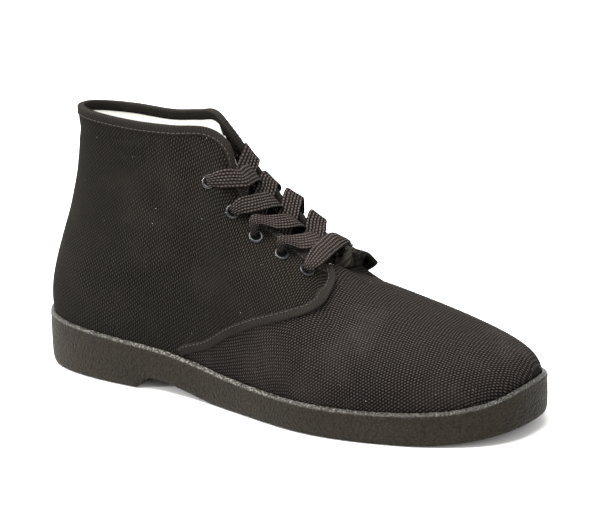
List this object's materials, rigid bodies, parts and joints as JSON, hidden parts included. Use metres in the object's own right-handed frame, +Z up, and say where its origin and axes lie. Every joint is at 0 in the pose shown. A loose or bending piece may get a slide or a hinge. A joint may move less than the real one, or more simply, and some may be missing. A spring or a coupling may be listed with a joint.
{
  "type": "high top sneaker",
  "caption": "Ankle-high lace-up canvas sneaker with a taped collar, open lacing on the instep and a one-piece moulded rubber sole with a low heel.",
  "frame": {"origin": "centre of the bounding box on the floor plane under the sole", "axes": "+X towards the toe, -Y to the outer side of the foot, +Z up"},
  "size_m": [0.288, 0.1034, 0.1452],
  "materials": {
    "sole_rubber": "fine pebbled satin",
    "lining": "plain woven cotton",
    "canvas": "black woven canvas",
    "tape": "ribbed black tape",
    "eyelet_metal": "glossy black",
    "lace": "flat woven cotton lace"
  },
  "bodies": {
    "root": {"sole": "sole_rubber", "insole": "lining", "upper": "canvas", "tongue": "canvas", "collar_binding": "tape", "eyelet_outer_1": "eyelet_metal", "eyelet_outer_2": "eyelet_metal", "eyelet_outer_3": "eyelet_metal", "eyelet_outer_4": "eyelet_metal", "eyelet_outer_5": "eyelet_metal", "eyelet_inner_1": "eyelet_metal", "eyelet_inner_2": "eyelet_metal", "eyelet_inner_3": "eyelet_metal", "eyelet_inner_4": "eyelet_metal", "eyelet_inner_5": "eyelet_metal", "lace_cross_1": "lace", "lace_cross_2": "lace", "lace_cross_3": "lace", "lace_cross_4": "lace", "lace_bar": "lace"}
  },
  "joints": []
}
